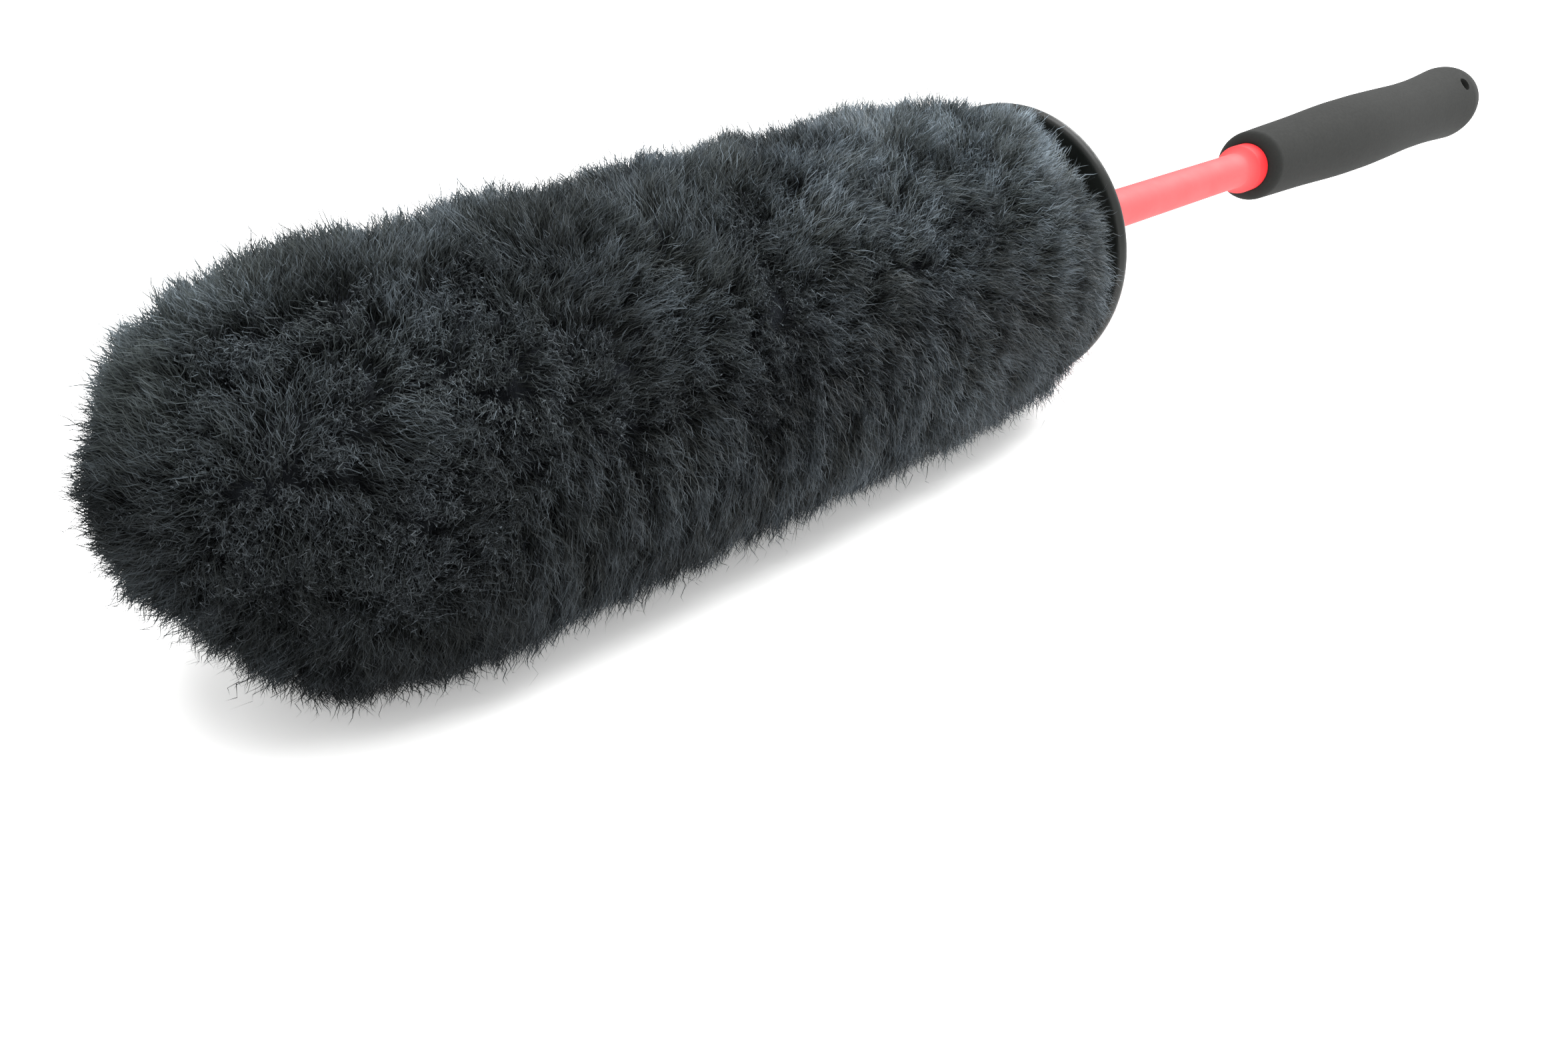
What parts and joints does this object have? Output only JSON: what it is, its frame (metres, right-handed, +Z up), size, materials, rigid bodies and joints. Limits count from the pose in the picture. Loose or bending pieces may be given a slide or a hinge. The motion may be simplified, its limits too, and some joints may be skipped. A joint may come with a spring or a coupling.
{
  "type": "wheel brush",
  "caption": "Long charcoal wool wheel brush with a round guard disc, a slim red shaft with a stepped collar, and a shaped foam grip with a hanging hole in its butt.",
  "frame": {"origin": "on the surface the brush lies on, under the middle of its overall length and width", "axes": "+X along the shaft from the wool tip to the grip's butt, +Z up, +Y across"},
  "size_m": [0.512, 0.0718, 0.0689],
  "materials": {
    "red_plastic": "glossy opaque red moulding",
    "black_plastic": "plain black moulding",
    "grip_foam": "fine-grained matte black foam",
    "guard_plastic": "smooth black moulding with a soft sheen on the rim",
    "washer_plastic": "natural plastic washer",
    "core_plastic": "natural plastic tube",
    "pin_steel": "plain steel pin",
    "cap_plastic": "black moulded cap",
    "washer_steel": "plated steel washer",
    "screw_steel": "plated steel screw",
    "hide": "suede side of a sheared hide",
    "hide_patch": "suede side of a sheared hide",
    "seam_thread": "waxed dark thread",
    "patch_thread": "waxed dark thread",
    "binding_cord": "waxed dark cord",
    "wool": "plush charcoal blue-grey wool pile",
    "wool_end": "plush charcoal blue-grey wool pile"
  },
  "bodies": {
    "root": {"handle_shaft": "red_plastic", "shaft_plug": "black_plastic", "foam_grip": "grip_foam", "guard_disc": "guard_plastic", "core_washer": "washer_plastic", "core_tube": "core_plastic", "core_pin": "pin_steel", "tip_cap": "cap_plastic", "tip_washer": "washer_steel", "tip_screw": "screw_steel", "hide_sleeve": "hide", "hide_tip": "hide_patch", "sleeve_seam": "seam_thread", "tip_seam": "patch_thread", "neck_binding": "binding_cord", "wool_side": "wool", "wool_tip": "wool_end"}
  },
  "joints": []
}
